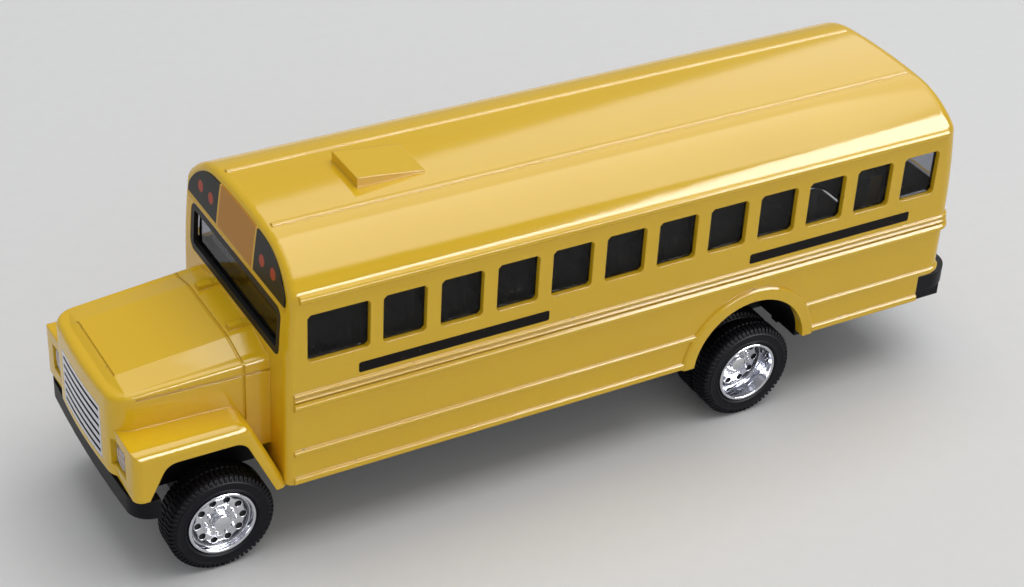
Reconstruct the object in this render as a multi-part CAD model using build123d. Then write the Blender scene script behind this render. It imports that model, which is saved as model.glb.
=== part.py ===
"""Toy school bus: a die-cast body shell on a moulded base, with two free-rolling axles.

Frame: +X to the front, +Y to the driver's side, +Z up, millimetres.
Origin: middle of the overall length and width, on the ground under the tyres.
"""
import os

from build123d import *

# Body shell, along and across
body_length = 105.5          # bulkhead line to the foot of the rear wall
body_width = 34.0
wall = 1.3
roof_wall = 1.4
front_edge_radius = 1.0      # rounding round the front end of the body
rear_edge_radius = 2.2       # rounding round the rear end of the body
front_foot = 0.55            # foot of the front wall ahead of the bulkhead line
end_straight = 13.8          # upright part of both end walls above the skirt
front_curve_radius = 130.0   # the front wall leans in above it
rear_curve_radius = 95.0     # and so does the rear wall

# Body shell, heights stacked up from the ground
skirt_z = 11.7               # lower edge of the side walls
side_height = 18.8           # skirt to window sill
window_height = 7.1
header_height = 2.8          # window top to eave
roof_rise = 5.2              # eave to the middle of the roof
shoulder_width = 8.5         # rounded part of the roof on each side
crown_drop = 0.4             # how far the flat crown falls to its edge
eave_radius = 2.0

# Rub rails above the skirt, lowest first: bottom, top and depth
rails = (
    (0.0, 1.1, 0.35),
    (4.5, 5.4, 0.35),
    (11.8, 13.0, 0.6),
    (13.1, 13.7, 0.4),
    (13.8, 14.4, 0.3),
)
drip_rail_drop = 0.8         # lower edge of the drip rail below the eave
drip_rail_height = 1.1
drip_rail_depth = 0.5
rail_bevel = 0.6             # share of a rail's depth that is bevelled

# Windows
front_pillar = 2.4           # bulkhead to the driver's window
driver_window = 8.7
first_post = 1.8             # between the driver's window and the row
row_window = 6.2
post_width = 2.02
rear_pillar = 4.0            # least wall behind the last window
window_corner = 0.45         # bevel at the corners of the side and rear windows
screen_border = 2.5          # wall on each side of the windscreen
screen_radius = 1.4

# Entrance door on the right side
door_border = 0.5            # door beyond the driver's window opposite, at each end
door_step = 1.7              # lower edge of the door above the skirt
door_recess = 0.35
pane_border = 0.7            # frame left round each door pane
pane_rail = 3.1              # solid rail of the door below the sill

# Rear wall
rear_door_half = 5.2
rear_door_step = 5.7         # lower edge of the door above the skirt
rear_door_depth = 0.3        # groove round the door
rear_door_groove = 0.4
rear_door_stile = 1.4        # door frame beside its window
rear_post = 1.2              # wall between the door and the side windows
rear_corner = 3.4            # wall outside the side windows
tail_lamp_radius = 1.1
tail_lamp_sides = 8
tail_lamp_rise = 0.45
tail_lamp_inset = 3.6        # from the body's side
tail_lamp_heights = (8.0, 10.8)

# Roof details
ridge_inset = 1.3            # ridge inside the edge of the crown
ridge_width = 0.7
ridge_height = 0.3
ridge_round = 0.25           # rounding of a ridge's upper edges
vent_front = 15.4            # tall end of the roof vent behind the bulkhead
vent_length = 9.8
vent_half = 3.75
vent_front_height = 1.4
vent_rear_height = 0.2

# Wheels and axles
tyre_radius = 7.36
front_tyre_width = 4.6
rear_tyre_width = 8.4        # twin tyres side by side
twin_gap = 0.8
twin_groove = 1.3            # depth of the gap
tyre_shoulder = 0.5
rim_radius = 4.75
front_wheel_inset = 1.6      # outer face of the front tyres inside the body's side
rear_wheel_inset = 0.2
front_axle_offset = 8.9      # axle ahead of the bulkhead
wheelbase = 81.0
axle_radius = 1.0
bearing_clearance = 0.05
press_clearance = 0.01
hub_lip = 0.5
front_hub_dish = 0.9
rear_hub_dish = 3.0
hub_cap_radius = 1.25
hub_cap_height = 0.9
hand_hole_count = 10
hand_hole_radius = 0.55
hand_hole_sides = 6
hand_hole_inset = 1.6        # circle of holes inside the rim
hand_hole_depth = 0.9

# Base
base_drop = 1.1              # underside below the skirt
base_thickness = 1.8
fit = 0.1                    # gap between nested mouldings
rear_wheel_gap = 1.2         # base to the inner face of the rear tyres
bearing_length = 5.2
bearing_drop = 2.0           # bearing block below the axle line
pad_length = 36.0            # plain raised panel between the axles
pad_half = 8.0
pad_height = 0.6
rib_width = 1.4              # frame rails moulded under the base
rib_height = 0.4
rib_offset = 10.6
shaft_radius = 1.3           # half-round drive shaft moulded under the base
well_wall = 0.8
wheelhouse_wall = 1.2
wheelhouse_gap = 1.35        # inner wheelhouse to the hood's side wall
wheelhouse_reach = 8.1       # its front end ahead of the axle

# Bumpers
bumper_lift = 1.7            # lower edge above the base's underside
bumper_height = 2.8
bumper_setback = 0.4         # front bumper behind the nose
bumper_inset = 0.2           # ends inside the fenders' outer faces
bumper_corner = 3.2
bumper_thickness = 1.6
bracket_thickness = 0.8
bumper_wrap = 3.4            # length of its ends along the sides
rear_bumper_reach = 2.9      # behind the rear wall
rear_bumper_inset = 0.2
rear_bumper_corner = 4.0
rear_bumper_lift = 2.4
rear_bumper_height = 2.6
rear_notch = 4.0             # cut in the body's lower rear corner for the bumper
notch_gap = 0.3

# Fenders
fender_inset = 0.5           # outer face inside the body's side
fender_reach = 11.9          # front face ahead of the axle
fender_height = 7.4          # tip of the front leg to the top
fender_gap = 0.3             # tip above the bumper
fender_foot_drop = 0.4       # rear foot below the skirt
fender_leg = 1.9             # thickness of the front leg at its tip
fender_thickness = 2.4       # band over the wheel
fender_slope = 5.2           # run of the sloping rear leg
fender_shoulder = 2.2        # radius where the leg turns into the top
fender_edge_radius = 1.3
arch_front_run = 2.5         # slope of the opening's front side
arch_rear_run = 4.2          # slope of its rear side
arch_rear_foot = 1.8         # opening ahead of the bulkhead at its foot
arch_radius = 2.2            # upper corners of the opening

# Rear wheel arches
rear_arch_radius = 9.4
rear_arch_rise = 3.64        # centre of the round opening above the axle
rear_arch_lead = 0.8         # and ahead of it
flare_width = 1.9
flare_depth = 0.5

# Nose
nose_reach = 0.4             # hood's front corners ahead of the fenders
nose_bow = 0.6               # how far the front bulges at the middle
nose_corner = 3.0            # plan radius of the hood's front corners
nose_gap = 0.4               # lower edge above the bumper
hood_inset = 6.0             # hood's front corners inside the body's side
hood_flare = 1.0             # hood wider on each side at the bulkhead
hood_rise = 5.0              # hood's front corners above the fenders
hood_climb = 1.45            # and how much higher it is at the bulkhead
hood_edge_radius = 0.8
panel_inset = 4.4            # raised middle panel inside the hood's side
panel_front_rise = 0.5
panel_rear_rise = 1.0
panel_setback = 1.9          # where the raised panel turns down to the nose
panel_dip = 0.5              # its front end under the hood's skin
cowl_seam = 4.0              # seam between hood and cowl, ahead of the bulkhead
side_seam = 4.4              # level line on the hood's side above the fenders
seam_width = 0.3
seam_depth = 0.2
cowl_boss_length = 3.4       # small bosses on the cowl behind the seam
cowl_boss_width = 1.2
cowl_boss_inset = 0.9        # inside the raised panel's edge
cowl_boss_height = 0.4

# Grille and lamps
grille_side = 4.05           # grille inside the hood's side
grille_border = 0.9          # nose below the grille
grille_height = 8.3
grille_back = 1.7            # depth behind the nose corners
grille_bars = 7
grille_gap = 0.55
grille_gap_depth = 0.8
grille_frame = 0.5           # upright ends of the bars
lamp_side = 3.2              # lamp inside the fender's outer face
lamp_size = 4.0
lamp_lift = 1.8              # lamp above the fender's tip
lamp_depth = 1.0
lamp_recess = 0.35
lens_radius = 1.6
lens_rise = 0.25

# Fastening posts and rivets
post_radius = 2.1
rivet_radius = 1.1
rivet_head_radius = 1.9
rivet_head = 0.6
rivet_grip = 4.0             # shank inside the post
front_post_reach = 6.7       # ahead of the front axle
rear_post_height = 12.6

# Glazing, interior and header label
glazing_wall = 0.9
glazing_lap = 2.9            # glazing below the sill
pane_recess = 0.65           # raised panes of the glazing behind the outer face
floor_thickness = 1.0
bench_inner = 2.6            # edge of the seats on the aisle
seat_height = 5.0
seat_depth = 5.0
back_height = 12.6
back_thickness = 1.3
driver_seat_half = 2.6
dash_depth = 3.0
dash_height = 14.6
wheel_radius = 2.6           # steering wheel
wheel_thickness = 0.5
column_radius = 0.5
column_length = 3.2
header_thickness = 0.2
header_gap = 0.4             # label above the window line
header_inset = 0.9           # label inside the roof's front edge
header_side = 1.5            # and inside the body's sides

# Heights worked out from the sizes above
sill_z = skirt_z + side_height
window_top_z = sill_z + window_height
eave_z = window_top_z + header_height
end_straight_z = skirt_z + end_straight
roof_z = eave_z + roof_rise
base_z = skirt_z - base_drop
base_top_z = base_z + base_thickness
axle_z = tyre_radius
rear_arch_z = axle_z + rear_arch_rise
bumper_bottom_z = base_z + bumper_lift
bumper_top_z = bumper_bottom_z + bumper_height
rear_bumper_bottom_z = base_z + rear_bumper_lift
rear_bumper_top_z = rear_bumper_bottom_z + rear_bumper_height
rear_notch_z = rear_bumper_top_z + notch_gap
fender_tip_z = bumper_top_z + fender_gap
fender_foot_z = skirt_z - fender_foot_drop
fender_z = fender_tip_z + fender_height
front_arch_z = fender_z - fender_thickness
nose_bottom_z = bumper_top_z + nose_gap
hood_front_z = fender_z + hood_rise
grille_bottom_z = nose_bottom_z + grille_border
grille_top_z = grille_bottom_z + grille_height
lamp_bottom_z = fender_tip_z + lamp_lift
glazing_bottom_z = sill_z - glazing_lap
rear_post_top_z = base_top_z + rear_post_height

# Places along the toy
fender_front = front_axle_offset + fender_reach
nose_length = fender_front + nose_reach
front_reach = nose_length + nose_bow
overall_length = front_reach + body_length + rear_bumper_reach
bulkhead_x = overall_length / 2 - front_reach
front_wall_x = bulkhead_x + front_foot
rear_x = bulkhead_x - body_length
front_axle_x = bulkhead_x + front_axle_offset
rear_axle_x = front_axle_x - wheelbase
rear_arch_x = rear_axle_x + rear_arch_lead
front_post_x = front_axle_x + front_post_reach
rear_post_x = rear_x + wall + post_radius + fit
pad_x = (front_axle_x + rear_axle_x) / 2
row_pitch = row_window + post_width
row_start = front_pillar + driver_window + first_post
row_count = int((body_length - row_start - rear_pillar + post_width) / row_pitch)

# Places across the toy
half_width = body_width / 2
cavity_half = half_width - wall
crown_half = half_width - shoulder_width
hood_half = half_width - hood_inset
panel_half = hood_half - panel_inset
grille_half = hood_half - grille_side
fender_half = half_width - fender_inset
bumper_half = fender_half - bumper_inset
rear_bumper_half = half_width - rear_bumper_inset
front_wheel_face = half_width - front_wheel_inset
rear_wheel_face = half_width - rear_wheel_inset
front_base_half = hood_half - wall - wheelhouse_gap
rear_base_half = rear_wheel_face - rear_tyre_width - rear_wheel_gap
bench_outer = cavity_half - glazing_wall - 2 * fit
lamp_inner = fender_half - lamp_side - lamp_size
tall = roof_z * 2            # higher than the toy, for cuts
wide = body_width * 2        # wider than the toy, for cuts


def block(x0, x1, y0, y1, z0, z1):
    """A box between two corners."""
    centre = Pos((x0 + x1) / 2, (y0 + y1) / 2, (z0 + z1) / 2)
    return centre * Box(x1 - x0, y1 - y0, z1 - z0)


def rod(x, z, radius, y0, y1):
    """A round bar across the toy."""
    return Pos(x, (y0 + y1) / 2, z) * Rot(90, 0, 0) * Cylinder(radius, y1 - y0)


def bar(y, z, radius, x0, x1):
    """A round bar along the toy."""
    return Pos((x0 + x1) / 2, y, z) * Rot(0, 90, 0) * Cylinder(radius, x1 - x0)


def post(x, radius, z0, z1):
    """An upright round bar on the centre line."""
    return Pos(x, 0, (z0 + z1) / 2) * Cylinder(radius, z1 - z0)


def both_sides(shape):
    """A shape and its mirror image across the centre line."""
    return shape + mirror(shape, Plane.XZ)


def across(profile, x0, x1):
    """A section drawn in Y and Z, run along X."""
    return extrude(Plane.YZ.offset(x0) * profile, x1 - x0, dir=(1, 0, 0))


def sideways(outline, y0, y1):
    """An outline drawn in X and Z, run along Y."""
    upright = Plane((0, y0, 0), x_dir=(1, 0, 0), z_dir=(0, -1, 0))
    return extrude(upright * outline, y1 - y0, dir=(0, 1, 0))


def upward(plan, z0, z1):
    """A plan drawn in X and Y, run along Z."""
    return extrude(Pos(0, 0, z0) * plan, z1 - z0, dir=(0, 0, 1))


def body_section(inset, roof_inset, bottom):
    """Cross-section of the body, drawn inside the outer one by the insets."""
    half = half_width - inset
    eave = eave_z - inset / 2
    top = roof_z - roof_inset
    edge = top - crown_drop
    crown = ThreePointArc((-crown_half, edge), (0, top), (crown_half, edge))
    left = TangentArc((-crown_half, edge), (-half, eave), tangent=(crown % 0) * -1)
    right = TangentArc((crown_half, edge), (half, eave), tangent=crown % 1)
    sides = Polyline((-half, eave), (-half, bottom), (half, bottom), (half, eave))
    face = make_face(Curve() + [crown, left, right, sides])
    corners = [v for v in face.vertices() if abs(v.Y - eave) < 0.001]
    return fillet(corners, eave_radius)


def squared_plan(front, rear, half, corner):
    """A plan with a straight front and round rear corners."""
    outline = Pos((front + rear) / 2, 0) * Rectangle(front - rear, 2 * half)
    return fillet(outline.vertices().group_by(Axis.X)[0], corner)


def bowed_plan(front, rear, half, corner, flare=0):
    """A plan with a bowed front and round front corners, wider at the rear by the flare."""
    bow = ThreePointArc((front, -half), (front + nose_bow, 0), (front, half))
    sides = Polyline((front, half), (rear, half + flare), (rear, -half - flare), (front, -half))
    face = make_face(Curve() + [bow, sides])
    return fillet(face.vertices().group_by(Axis.X)[-1], corner)


def lean(z, radius):
    """How far an end wall has curved in at a height."""
    return max(z - end_straight_z, 0) ** 2 / (2 * radius)


def end_outline(inset):
    """Side view of the body between its leaning ends, drawn inside by the inset."""
    front = front_wall_x - inset
    rear = rear_x + inset
    middle = (end_straight_z + roof_z) / 2
    front_top = front - lean(roof_z, front_curve_radius)
    rear_top = rear + lean(roof_z, rear_curve_radius)
    front_curve = ThreePointArc(
        (front, end_straight_z), (front - lean(middle, front_curve_radius), middle), (front_top, roof_z))
    rear_curve = ThreePointArc(
        (rear, end_straight_z), (rear + lean(middle, rear_curve_radius), middle), (rear_top, roof_z))
    top = Polyline((front_top, roof_z), (front_top, tall), (rear_top, tall), (rear_top, roof_z))
    foot = Polyline((rear, end_straight_z), (rear, -tall), (front, -tall), (front, end_straight_z))
    return make_face(Curve() + [front_curve, rear_curve, top, foot])


def body_form(inset, roof_inset, bottom):
    """Solid body drawn inside the outer one by the insets, down to the bottom."""
    solid = across(body_section(inset, roof_inset, bottom), rear_x, front_wall_x)
    return solid & sideways(end_outline(inset), -wide, wide)


def rub_rail(bottom, top, depth):
    """A rail along both sides and round the rear, with bevelled edges."""
    middle = (bottom + top) / 2
    front = front_wall_x - lean(middle, front_curve_radius) - front_edge_radius
    rear = rear_x + lean(middle, rear_curve_radius) - depth
    plan = squared_plan(front, rear, half_width + depth, rear_edge_radius + depth)
    slab = upward(plan, bottom, top)
    faces = slab.faces().sort_by(Axis.Z)
    edges = [e for face in (faces[0], faces[-1]) for e in face.edges()]
    return chamfer([e for e in edges if e.center().X < front - 0.001], depth * rail_bevel)


def drip_rail():
    """A rail along each side at the eave, which ends short of the rear corners."""
    bottom = eave_z - drip_rail_drop
    front = front_wall_x - lean(eave_z, front_curve_radius) - front_edge_radius
    rear = rear_x + lean(eave_z, rear_curve_radius) + rear_edge_radius
    reach = half_width + drip_rail_depth
    slab = block(rear, front, -reach, reach, bottom, bottom + drip_rail_height)
    return chamfer(slab.edges().filter_by(Axis.X), drip_rail_depth * rail_bevel)


def all_rails():
    """The rub rails of the side and the drip rail at the eave."""
    return [rub_rail(skirt_z + bottom, skirt_z + top, depth) for bottom, top, depth in rails] + [drip_rail()]


def hood_top(x):
    """Height of the hood's side edges, which climb to the bulkhead."""
    return hood_front_z + hood_climb * (bulkhead_x + nose_length - x) / nose_length


def hood_block(inset, rear):
    """Hood with a bowed plan and a sloping top, drawn inside the outer one by the inset."""
    front = bulkhead_x + nose_length - inset
    plan = bowed_plan(front, rear, hood_half - inset, nose_corner - inset, hood_flare)
    ahead = bulkhead_x + front_reach
    slope = Polygon(
        (rear, 0), (ahead, 0), (ahead, hood_top(ahead) - inset), (rear, hood_top(rear) - inset), align=None)
    return upward(plan, 0, tall) & sideways(slope, -wide, wide)


def hood_panel(drop):
    """Raised middle of the hood, lowered by the drop."""
    front = bulkhead_x + nose_length
    foot_half = hood_half - hood_edge_radius
    # columns: place along X, rise of the panel, half width of its foot
    stations = (
        (bulkhead_x - wall, panel_rear_rise, foot_half),
        (front - panel_setback, panel_front_rise, foot_half),
        (front, -panel_dip, panel_half + panel_dip),
    )
    sections = []
    for x, rise, half in stations:
        edge = hood_top(x) - drop + min(rise, 0)
        base = edge - wall / 2
        outline = Polygon(
            (-half, base), (half, base), (half, edge), (panel_half, hood_top(x) - drop + rise),
            (-panel_half, hood_top(x) - drop + rise), (-half, edge), align=None)
        sections.append(Plane.YZ.offset(x) * outline)
    return loft(sections, ruled=True)


def hood():
    """Solid hood with a raised panel, cowl bosses and seams."""
    rear = bulkhead_x - wall
    solid = hood_block(0, rear)
    rim = [f for f in solid.faces() if f.normal_at().Z > 0.9][0].edges().sort_by(Axis.X)[1:]
    solid = fillet(rim, hood_edge_radius) + hood_panel(0)
    seam_x = bulkhead_x + cowl_seam
    seams = block(seam_x - seam_width / 2, seam_x + seam_width / 2, -wide, wide, 0, tall)
    side_z = fender_z + side_seam
    seams += block(bulkhead_x, bulkhead_x + nose_length - nose_corner, -wide, wide,
                   side_z - seam_width / 2, side_z + seam_width / 2)
    groove_x = bulkhead_x + nose_length - panel_setback
    seams += block(groove_x - seam_width / 2, groove_x + seam_width / 2, -panel_half, panel_half, 0, tall)
    solid -= seams - hood_block(seam_depth, rear) - hood_panel(seam_depth)
    boss_z = hood_top(bulkhead_x) + panel_rear_rise
    boss = block(bulkhead_x, bulkhead_x + cowl_boss_length, 0, cowl_boss_width,
                 boss_z - wall, boss_z + cowl_boss_height)
    solid += both_sides(Pos(0, panel_half - cowl_boss_inset - cowl_boss_width, 0) * boss)
    return solid - block(rear, bulkhead_x + front_reach, -wide, wide, 0, nose_bottom_z)


def fender():
    """Left front fender before its wheel opening is cut."""
    front = bulkhead_x + fender_front
    outline = Polygon(
        (bulkhead_x, fender_foot_z), (bulkhead_x + fender_slope, fender_z),
        (front, fender_z), (front, fender_foot_z), align=None)
    top = outline.vertices().group_by(Axis.Y)[-1].sort_by(Axis.X)
    solid = sideways(fillet(top[0], fender_shoulder), 0, fender_half)
    rim = solid.faces().sort_by(Axis.Y)[-1].edges().sort_by(Axis.Z)[1:]
    return fillet(rim, fender_edge_radius)


def front_arch_cut():
    """Room for the front wheels and for the bumper under the fender tips."""
    ahead = bulkhead_x + front_reach
    front_foot = bulkhead_x + fender_front - fender_leg
    rear_foot = bulkhead_x + arch_rear_foot
    outline = Polygon(
        (ahead, 0), (ahead, fender_tip_z), (front_foot, fender_tip_z),
        (front_foot - arch_front_run, front_arch_z), (rear_foot + arch_rear_run, front_arch_z),
        (rear_foot, fender_foot_z), (rear_foot, 0), align=None)
    top = outline.vertices().group_by(Axis.Y)[-1]
    return sideways(fillet(top, arch_radius), -wide, wide)


def pane_outline(length, height, gap):
    """A window opening with bevelled corners, drawn smaller by the gap."""
    return chamfer(Rectangle(length - 2 * gap, height - 2 * gap).vertices(), window_corner)


def window_row(gap):
    """Cutters for the row of like windows, through both sides."""
    middle = (window_top_z + sill_z) / 2
    pane = pane_outline(row_window, window_height, gap)
    first = bulkhead_x - row_start - row_window / 2
    row = Sketch() + [Pos(first - i * row_pitch, middle) * pane for i in range(row_count)]
    return sideways(row, -wide, wide)


def upright_panes(table, side, gap):
    """Cutters through one side wall from rows of start, length, bottom and top."""
    outlines = []
    for start, length, bottom, top in table:
        pane = pane_outline(length, top - bottom, gap)
        outlines.append(Pos(bulkhead_x - start - length / 2, (bottom + top) / 2) * pane)
    reach = sorted((side * cavity_half / 2, side * wide))
    return sideways(Sketch() + outlines, reach[0], reach[1])


def driver_window_cut(gap):
    """Cutter for the driver's window in the left side."""
    return upright_panes([(front_pillar, driver_window, sill_z, window_top_z)], 1, gap)


def windscreen_cut(gap):
    """Cutter for the one-piece windscreen, with round corners."""
    middle = (window_top_z + sill_z) / 2
    length = 2 * (half_width - screen_border - gap)
    screen = RectangleRounded(length, window_height - 2 * gap, screen_radius)
    return across(Pos(0, middle) * screen, bulkhead_x - 2 * wall, bulkhead_x + wall)


def rear_window_cut(gap):
    """Cutters for the rear door's window and the two beside it."""
    middle = (window_top_z + sill_z) / 2
    inner = rear_door_half + rear_post
    outer = half_width - rear_corner
    beside = pane_outline(outer - inner, window_height, gap)
    centre = pane_outline(2 * (rear_door_half - rear_door_stile), window_height, gap)
    panes = [Pos(0, middle) * centre]
    panes += [Pos(side * (inner + outer) / 2, middle) * beside for side in (-1, 1)]
    return across(Sketch() + panes, rear_x - wall, rear_x + 2 * wall)


def entrance_door():
    """Recess and panes of the two-leaf entrance door on the right side."""
    start = front_pillar - door_border
    length = driver_window + 2 * door_border
    leaf = length / 2
    low = skirt_z + door_step
    face = -half_width
    front = bulkhead_x - start
    cuts = [block(front - length, front, face - wall, face + door_recess, low, window_top_z)]
    panes = []
    for i in range(2):
        edge = start + i * leaf + pane_border
        span = leaf - 2 * pane_border
        panes.append((edge, span, sill_z, window_top_z - pane_border))
        x1 = bulkhead_x - edge
        cuts.append(block(x1 - span, x1, face - wall, face + 2 * door_recess,
                          low + pane_border, sill_z - pane_rail))
    return Part() + cuts + [upright_panes(panes, -1, 0)]


def rear_door_seam():
    """Groove round the emergency door in the rear wall."""
    x0 = rear_x - wall
    x1 = rear_x + 2 * wall
    low = skirt_z + rear_door_step
    top = window_top_z + 2 * rear_door_groove
    inner = rear_door_half - rear_door_groove
    ring = block(x0, x1, -rear_door_half, rear_door_half, low, top)
    ring -= block(x0, x1, -inner, inner, low + rear_door_groove, top - rear_door_groove)
    return ring - body_form(rear_door_depth, rear_door_depth, 0)


def tail_lamps():
    """Lamp bosses on the rear wall, two on each side."""
    y = half_width - tail_lamp_inset
    boss = RegularPolygon(tail_lamp_radius, tail_lamp_sides)
    lamps = Sketch() + [Pos(y, skirt_z + height) * boss for height in tail_lamp_heights]
    return both_sides(across(lamps, rear_x - tail_lamp_rise, rear_x + wall))


def roof_vent():
    """Wedge-shaped vent on the roof, tall at the front."""
    front = bulkhead_x - vent_front
    rear = front - vent_length
    outline = Polygon(
        (front, roof_z - roof_wall), (front, roof_z + vent_front_height),
        (rear, roof_z + vent_rear_height), (rear, roof_z - roof_wall), align=None)
    return sideways(outline, -vent_half, vent_half)


def roof_ridges():
    """Two low ridges along the roof."""
    y = crown_half - ridge_inset
    top = roof_z - crown_drop * (y / crown_half) ** 2 + ridge_height
    rear = rear_x + lean(roof_z, rear_curve_radius) + rear_edge_radius
    front = front_wall_x - lean(roof_z, front_curve_radius) - front_edge_radius
    ridge = block(rear, front, y - ridge_width / 2, y + ridge_width / 2, top - roof_wall, top)
    ridge = fillet(ridge.edges().filter_by(Axis.X).group_by(Axis.Z)[-1], ridge_round)
    return both_sides(ridge)


def lamp_pocket(depth, gap):
    """Square space for the left headlamp, from the pocket's floor forward."""
    floor_x = bulkhead_x + fender_front - lamp_recess - lamp_depth
    return block(floor_x, floor_x + depth, lamp_inner + gap, lamp_inner + lamp_size - gap,
                 lamp_bottom_z + gap, lamp_bottom_z + lamp_size - gap)


def end_rim(solid, way):
    """Edges round the front or rear end of the body, without the level ones."""
    faces = [f for f in solid.faces() if way * f.normal_at().X > 0.9]
    edges = [e for f in faces for e in f.edges()]
    return [e for e in edges if abs((e @ 0).Y + (e @ 1).Y) > 0.001 or (e @ 0).Z > eave_z]


def body_shell():
    """Passenger body with rails, arches and windows."""
    shell = body_form(0, 0, skirt_z)
    shell = fillet(end_rim(shell, 1), front_edge_radius)
    shell = fillet(end_rim(shell, -1), rear_edge_radius)
    shell += all_rails()
    reach = half_width + flare_depth
    flare = rod(rear_arch_x, rear_arch_z, rear_arch_radius + flare_width, -reach, reach)
    flare = chamfer(flare.edges().filter_by(GeomType.CIRCLE), flare_depth * rail_bevel)
    shell += flare & block(rear_x, bulkhead_x, -wide, wide, skirt_z, tall)
    shell += [roof_vent(), roof_ridges(), tail_lamps()]
    shell -= body_form(wall, roof_wall, -tall)
    shell -= rod(rear_arch_x, rear_arch_z, rear_arch_radius, -wide, wide)
    shell -= block(rear_x - wide, rear_x + rear_notch, -wide, wide, 0, rear_notch_z)
    return shell


def nose():
    """Hollow hood and fenders with grille and lamp openings."""
    front = hood() + both_sides(fender())
    front -= hood_block(wall, bulkhead_x)
    front -= front_arch_cut()
    front -= block(rear_x, front_wall_x - wall, -wide, wide, 0, tall)
    front -= block(bulkhead_x + nose_length - grille_back, bulkhead_x + front_reach,
                   -grille_half, grille_half, grille_bottom_z, grille_top_z)
    return front - both_sides(lamp_pocket(front_reach, 0))


def fastening_posts():
    """Posts inside the casting that take the rivets."""
    front = post(front_post_x, post_radius, base_top_z, hood_front_z - wall / 2)
    rear = post(rear_post_x, post_radius, base_top_z, rear_post_top_z)
    web = block(rear_x + wall / 2, rear_post_x, -post_radius, post_radius, rear_notch_z, rear_post_top_z)
    return Part() + [front, rear, web]


def body_casting():
    """The one-piece die-cast shell with hood, fenders and posts."""
    shell = body_shell() + nose()
    shell -= block(bulkhead_x - 2 * wall, bulkhead_x + arch_rear_foot, -front_base_half - fit,
                   front_base_half + fit, 0, base_top_z + fit)
    shell -= window_row(0)
    shell -= driver_window_cut(0)
    shell -= entrance_door()
    shell -= windscreen_cut(0)
    shell -= rear_window_cut(0)
    shell -= rear_door_seam()
    shell += fastening_posts()
    for x in (front_post_x, rear_post_x):
        shell -= post(x, rivet_radius + press_clearance, base_top_z, base_top_z + rivet_grip + fit)
    return shell


def front_bumper():
    """Bowed front bumper whose ends wrap back under the fenders."""
    front = bulkhead_x + nose_length - bumper_setback
    t = bumper_thickness
    plan = bowed_plan(front, bulkhead_x, bumper_half, bumper_corner)
    plan -= bowed_plan(front - t, bulkhead_x - t, bumper_half - t, bumper_corner - t)
    ends = block(front - bumper_wrap, bulkhead_x + front_reach, -wide, wide, 0, tall)
    return upward(plan, bumper_bottom_z, bumper_top_z) & ends


def rear_bumper():
    """Square rear bumper that wraps round the body's corners."""
    front = rear_x + rear_notch - fit
    rear = rear_x - rear_bumper_reach
    t = bumper_thickness
    plan = squared_plan(front, rear, rear_bumper_half, rear_bumper_corner)
    plan -= squared_plan(front + t, rear + t, rear_bumper_half - t, rear_bumper_corner - t)
    return upward(plan, rear_bumper_bottom_z, rear_bumper_top_z)


def bumper_brackets():
    """Upstands of the base that carry both bumpers."""
    rear = rear_x - rear_bumper_reach
    front = bulkhead_x + nose_length - bumper_setback
    t = bumper_thickness
    back = block(rear + t / 2, rear_x - fit, -front_base_half, front_base_half,
                 base_top_z - base_thickness / 2, rear_bumper_bottom_z + rear_bumper_height / 2)
    ahead = block(front - t - bracket_thickness, front - t / 2, -front_base_half, front_base_half,
                  base_z, bumper_bottom_z + bumper_height / 2)
    return Part() + [back, ahead]


def underside_relief():
    """Frame rails, drive shaft and plain panel moulded under the base."""
    front = front_wall_x - wall - fit
    rail = block(rear_x + rear_notch, front, rib_offset - rib_width / 2, rib_offset + rib_width / 2,
                 base_z - rib_height, base_top_z)
    shaft = bar(0, base_z, shaft_radius, pad_x + pad_length / 2, front_axle_x)
    shaft += bar(0, base_z, shaft_radius, rear_axle_x, pad_x - pad_length / 2)
    pad = block(pad_x - pad_length / 2, pad_x + pad_length / 2, -pad_half, pad_half,
                base_z - pad_height, base_top_z)
    return Part() + [both_sides(rail), shaft, pad]


def base_plate():
    """Moulded base with axle bearings, wheel wells and both bumpers."""
    half = cavity_half - fit
    back = front_wall_x - wall - fit
    plate = block(rear_x - bumper_thickness, back, -half, half, base_z, base_top_z)
    plate += block(back - wall, bulkhead_x + nose_length - bumper_setback - bumper_thickness / 2,
                   -front_base_half, front_base_half, base_z, base_top_z)
    plate += [front_bumper(), rear_bumper(), bumper_brackets(), underside_relief()]
    for x, width in ((front_axle_x, front_base_half), (rear_axle_x, rear_base_half - well_wall)):
        plate += block(x - bearing_length / 2, x + bearing_length / 2, -width, width,
                       axle_z - bearing_drop, base_top_z)
    house = block(front_wall_x + fit, front_axle_x + wheelhouse_reach, front_base_half - wheelhouse_wall,
                  front_base_half, base_z, front_arch_z - fit)
    plate += both_sides(house)
    well = rod(rear_arch_x, rear_arch_z, rear_arch_radius + well_wall, rear_base_half - well_wall, half)
    well &= block(rear_x, bulkhead_x, 0, wide, base_z, tall)
    plate += both_sides(well)
    plate -= both_sides(rod(rear_arch_x, rear_arch_z, rear_arch_radius, rear_base_half, wide))
    for x in (front_axle_x, rear_axle_x):
        plate -= rod(x, axle_z, axle_radius + bearing_clearance, -wide, wide)
    for x in (front_post_x, rear_post_x):
        plate -= post(x, rivet_radius + fit, 0, base_top_z)
    return plate


def rivet(x):
    """A rivet that holds the base to a post of the body."""
    head = post(x, rivet_head_radius, base_z - rivet_head, base_z)
    return head + post(x, rivet_radius, base_z, base_top_z + rivet_grip)


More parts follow.
